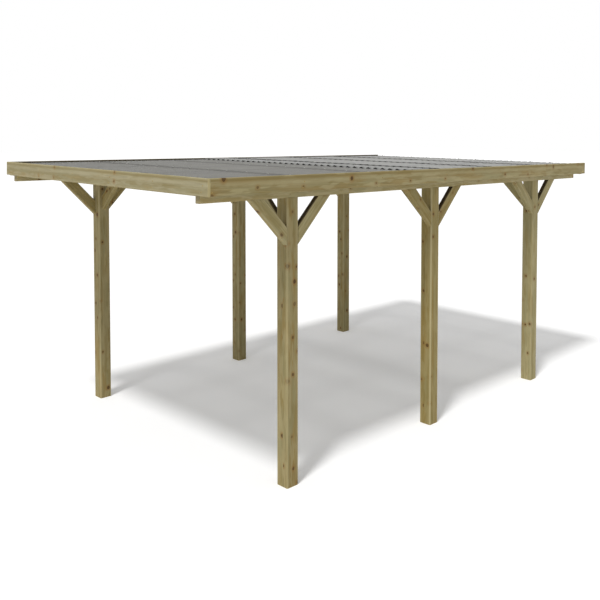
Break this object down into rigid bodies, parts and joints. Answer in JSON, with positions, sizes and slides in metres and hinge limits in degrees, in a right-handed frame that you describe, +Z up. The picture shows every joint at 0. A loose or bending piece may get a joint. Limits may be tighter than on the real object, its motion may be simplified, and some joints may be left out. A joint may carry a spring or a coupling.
{
  "type": "carport",
  "caption": "Open timber carport for one car, with square posts, braced beams and a shallow-falling roof of grey translucent wave-profiled sheets.",
  "frame": {"origin": "on the ground under the middle of the roof's plan", "axes": "+Z up, +Y along the rows of posts from the entrance to the rear, +X across to the right of someone driving in"},
  "size_m": [3.03, 5.2862, 2.3681],
  "materials": {
    "timber": "planed pine, pressure treated to a greenish brown, matt",
    "roof_sheet": "smoke-grey translucent, lightly glossy",
    "seal_foam": "black closed-cell foam, dull"
  },
  "bodies": {
    "root": {"post_front_left": "timber", "post_front_right": "timber", "post_middle_left": "timber", "post_middle_right": "timber", "post_rear_left": "timber", "post_rear_right": "timber", "beam_left": "timber", "beam_right": "timber", "brace_front_left_forward": "timber", "brace_front_left_backward": "timber", "brace_front_left_across": "timber", "brace_front_right_forward": "timber", "brace_front_right_backward": "timber", "brace_front_right_across": "timber", "brace_middle_left_forward": "timber", "brace_middle_left_backward": "timber", "brace_middle_left_across": "timber", "brace_middle_right_forward": "timber", "brace_middle_right_backward": "timber", "brace_middle_right_across": "timber", "brace_rear_left_forward": "timber", "brace_rear_left_backward": "timber", "brace_rear_left_across": "timber", "brace_rear_right_forward": "timber", "brace_rear_right_backward": "timber", "brace_rear_right_across": "timber", "rafter_front_end": "timber", "rafter_front_posts": "timber", "rafter_front_bay": "timber", "rafter_middle_posts": "timber", "rafter_rear_bay": "timber", "rafter_rear_posts": "timber", "rafter_rear_end": "timber", "fascia_front": "timber", "fascia_rear": "timber", "fascia_left": "timber", "fascia_right": "timber", "sheet_front_left": "roof_sheet", "sheet_front_middle": "roof_sheet", "sheet_front_right": "roof_sheet", "sheet_rear_left": "roof_sheet", "sheet_rear_middle": "roof_sheet", "sheet_rear_right": "roof_sheet", "lap_seal": "seal_foam"}
  },
  "joints": []
}
